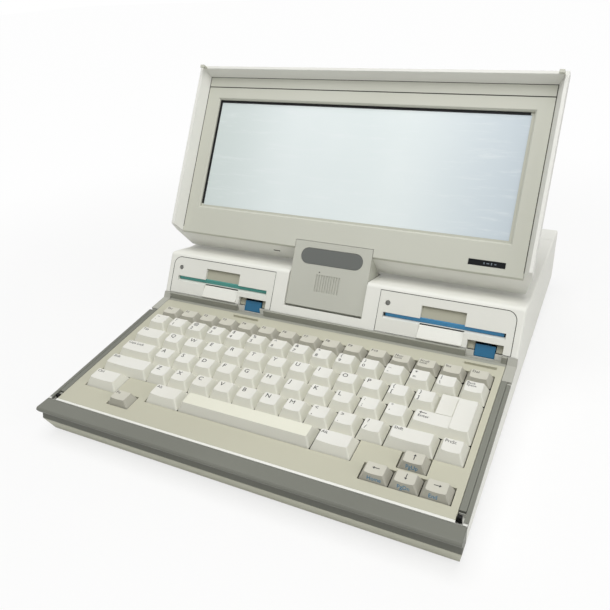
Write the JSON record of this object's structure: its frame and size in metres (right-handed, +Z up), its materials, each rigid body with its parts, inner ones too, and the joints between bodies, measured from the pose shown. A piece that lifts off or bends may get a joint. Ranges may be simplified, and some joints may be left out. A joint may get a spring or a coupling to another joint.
{
  "type": "portable computer",
  "caption": "Portable computer with a sloping keyboard, a rear housing with diskette drives and a display lid on one central neck.",
  "frame": {"origin": "centre of the footprint, on the surface that the feet stand on", "axes": "+Z up, +Y away from the user towards the rear cover, +X to the user's right"},
  "size_m": [0.31, 0.3688, 0.2262],
  "materials": {
    "shell": "fine textured off-white",
    "deck_beige": "fine textured beige",
    "handle_grey": "fine textured dark grey",
    "key_cream": "satin cream",
    "key_grey": "satin grey beige",
    "lid_white": "fine textured off-white",
    "bezel_grey": "fine textured grey beige",
    "black_plastic": "black",
    "screen": "pale display film",
    "clear_window": "smooth clear cover",
    "button_blue": "satin blue",
    "lamp": "moulded lens",
    "disk_blue": "blue shell",
    "disk_green": "green shell",
    "badge_grey": "bare grey oval",
    "steel": "plain steel",
    "rubber_feet": "dull rubber",
    "board": "circuit board",
    "cell": "battery case"
  },
  "bodies": {
    "base": {"base_shell": "shell", "feet": "rubber_feet", "case_screws": "steel", "main_board": "board", "battery_pack": "cell", "outer_strips": "handle_grey", "inner_strips": "handle_grey", "side_blocks": "bezel_grey", "keyboard_deck": "deck_beige", "key_plate": "steel", "recess_wall": "deck_beige", "rear_housing": "shell", "rear_cover": "shell", "drive_bezel_left": "bezel_grey", "drive_bezel_right": "bezel_grey", "drive_left": "steel", "drive_right": "steel", "drive_lamps": "lamp", "hinge_pin": "steel", "hinge_brackets": "steel"},
    "lid": {"lid_shell": "lid_white", "lid_bezel": "bezel_grey", "lid_hooks": "bezel_grey", "indicator_window": "clear_window", "lcd_frame": "black_plastic", "lcd_panel": "screen", "neck_cover": "bezel_grey", "neck_core": "lid_white", "badge_plate": "badge_grey"},
    "handle": {"handle": "handle_grey"},
    "latch_left": {"latch_slider_left": "black_plastic"},
    "latch_right": {"latch_slider_right": "black_plastic"},
    "disk_left": {"diskette_left": "disk_green"},
    "disk_right": {"diskette_right": "disk_blue"},
    "eject_left": {"eject_button_left": "button_blue"},
    "eject_right": {"eject_button_right": "button_blue"},
    "keys_function_body": {"keys_function": "key_grey"},
    "keys_number_body": {"keys_number": "key_cream"},
    "keys_upper_body": {"keys_upper": "key_cream"},
    "keys_home_body": {"keys_home": "key_cream"},
    "keys_lower_body": {"keys_lower": "key_cream"},
    "key_tab_body": {"key_tab": "key_cream"},
    "key_caps_body": {"key_caps": "key_cream"},
    "key_shift_left_body": {"key_shift_left": "key_cream"},
    "key_shift_right_body": {"key_shift_right": "key_cream"},
    "key_print_body": {"key_print": "key_cream"},
    "key_ctrl_body": {"key_ctrl": "key_cream"},
    "key_alt_left_body": {"key_alt_left": "key_cream"},
    "key_space_body": {"key_space": "key_cream"},
    "key_alt_right_body": {"key_alt_right": "key_cream"},
    "key_enter_body": {"key_enter": "key_cream"},
    "key_fn_body": {"key_fn": "key_grey"},
    "key_arrow_left_body": {"key_arrow_left": "key_grey"},
    "key_arrow_down_body": {"key_arrow_down": "key_grey"},
    "key_arrow_right_body": {"key_arrow_right": "key_grey"},
    "key_arrow_up_body": {"key_arrow_up": "key_grey"}
  },
  "joints": [
    {"name": "lid_hinge", "type": "hinge", "parent": "base", "child": "lid", "pos_m": [0, -0.0003, 0.0652], "axis": [1, 0, 0], "range_deg": [0, 127.3]},
    {"name": "handle_slide", "type": "slide", "parent": "base", "child": "handle", "axis": [0, -1, 0], "range_m": [0, 0.038]},
    {"name": "latch_left_slide", "type": "slide", "parent": "base", "child": "latch_left", "axis": [0, 0.9956, 0.0936], "range_m": [0, 0.003], "stiffness_N_per_m": 40, "springref_m": -0.001},
    {"name": "disk_left_slide", "type": "slide", "parent": "base", "child": "disk_left", "axis": [0, -1, 0], "range_m": [0, 0.007]},
    {"name": "eject_left_press", "type": "slide", "parent": "base", "child": "eject_left", "axis": [0, 1, 0], "range_m": [0, 0.003], "stiffness_N_per_m": 200, "springref_m": -0.001},
    {"name": "latch_right_slide", "type": "slide", "parent": "base", "child": "latch_right", "axis": [0, 0.9956, 0.0936], "range_m": [0, 0.003], "stiffness_N_per_m": 40, "springref_m": -0.001},
    {"name": "disk_right_slide", "type": "slide", "parent": "base", "child": "disk_right", "axis": [0, -1, 0], "range_m": [0, 0.007]},
    {"name": "eject_right_press", "type": "slide", "parent": "base", "child": "eject_right", "axis": [0, 1, 0], "range_m": [0, 0.003], "stiffness_N_per_m": 200, "springref_m": -0.001},
    {"name": "keys_function_press", "type": "slide", "parent": "base", "child": "keys_function_body", "axis": [0, 0.0936, -0.9956], "range_m": [0, 0.0025], "stiffness_N_per_m": 2250, "springref_m": -0.002},
    {"name": "keys_number_press", "type": "slide", "parent": "base", "child": "keys_number_body", "axis": [0, 0.0936, -0.9956], "range_m": [0, 0.0025], "stiffness_N_per_m": 2250, "springref_m": -0.002},
    {"name": "keys_upper_press", "type": "slide", "parent": "base", "child": "keys_upper_body", "axis": [0, 0.0936, -0.9956], "range_m": [0, 0.0025], "stiffness_N_per_m": 1800, "springref_m": -0.002},
    {"name": "keys_home_press", "type": "slide", "parent": "base", "child": "keys_home_body", "axis": [0, 0.0936, -0.9956], "range_m": [0, 0.0025], "stiffness_N_per_m": 1650, "springref_m": -0.002},
    {"name": "keys_lower_press", "type": "slide", "parent": "base", "child": "keys_lower_body", "axis": [0, 0.0936, -0.9956], "range_m": [0, 0.0025], "stiffness_N_per_m": 1500, "springref_m": -0.002},
    {"name": "key_tab_press", "type": "slide", "parent": "base", "child": "key_tab_body", "axis": [0, 0.0936, -0.9956], "range_m": [0, 0.0025], "stiffness_N_per_m": 150, "springref_m": -0.002},
    {"name": "key_caps_press", "type": "slide", "parent": "base", "child": "key_caps_body", "axis": [0, 0.0936, -0.9956], "range_m": [0, 0.0025], "stiffness_N_per_m": 150, "springref_m": -0.002},
    {"name": "key_shift_left_press", "type": "slide", "parent": "base", "child": "key_shift_left_body", "axis": [0, 0.0936, -0.9956], "range_m": [0, 0.0025], "stiffness_N_per_m": 150, "springref_m": -0.002},
    {"name": "key_shift_right_press", "type": "slide", "parent": "base", "child": "key_shift_right_body", "axis": [0, 0.0936, -0.9956], "range_m": [0, 0.0025], "stiffness_N_per_m": 150, "springref_m": -0.002},
    {"name": "key_print_press", "type": "slide", "parent": "base", "child": "key_print_body", "axis": [0, 0.0936, -0.9956], "range_m": [0, 0.0025], "stiffness_N_per_m": 150, "springref_m": -0.002},
    {"name": "key_ctrl_press", "type": "slide", "parent": "base", "child": "key_ctrl_body", "axis": [0, 0.0936, -0.9956], "range_m": [0, 0.0025], "stiffness_N_per_m": 150, "springref_m": -0.002},
    {"name": "key_alt_left_press", "type": "slide", "parent": "base", "child": "key_alt_left_body", "axis": [0, 0.0936, -0.9956], "range_m": [0, 0.0025], "stiffness_N_per_m": 150, "springref_m": -0.002},
    {"name": "key_space_press", "type": "slide", "parent": "base", "child": "key_space_body", "axis": [0, 0.0936, -0.9956], "range_m": [0, 0.0025], "stiffness_N_per_m": 300, "springref_m": -0.002},
    {"name": "key_alt_right_press", "type": "slide", "parent": "base", "child": "key_alt_right_body", "axis": [0, 0.0936, -0.9956], "range_m": [0, 0.0025], "stiffness_N_per_m": 150, "springref_m": -0.002},
    {"name": "key_enter_press", "type": "slide", "parent": "base", "child": "key_enter_body", "axis": [0, 0.0936, -0.9956], "range_m": [0, 0.0025], "stiffness_N_per_m": 300, "springref_m": -0.002},
    {"name": "key_fn_press", "type": "slide", "parent": "base", "child": "key_fn_body", "axis": [0, 0.0936, -0.9956], "range_m": [0, 0.0025], "stiffness_N_per_m": 150, "springref_m": -0.002},
    {"name": "key_arrow_left_press", "type": "slide", "parent": "base", "child": "key_arrow_left_body", "axis": [0, 0.0936, -0.9956], "range_m": [0, 0.0025], "stiffness_N_per_m": 150, "springref_m": -0.002},
    {"name": "key_arrow_down_press", "type": "slide", "parent": "base", "child": "key_arrow_down_body", "axis": [0, 0.0936, -0.9956], "range_m": [0, 0.0025], "stiffness_N_per_m": 150, "springref_m": -0.002},
    {"name": "key_arrow_right_press", "type": "slide", "parent": "base", "child": "key_arrow_right_body", "axis": [0, 0.0936, -0.9956], "range_m": [0, 0.0025], "stiffness_N_per_m": 150, "springref_m": -0.002},
    {"name": "key_arrow_up_press", "type": "slide", "parent": "base", "child": "key_arrow_up_body", "axis": [0, 0.0936, -0.9956], "range_m": [0, 0.0025], "stiffness_N_per_m": 150, "springref_m": -0.002}
  ]
}
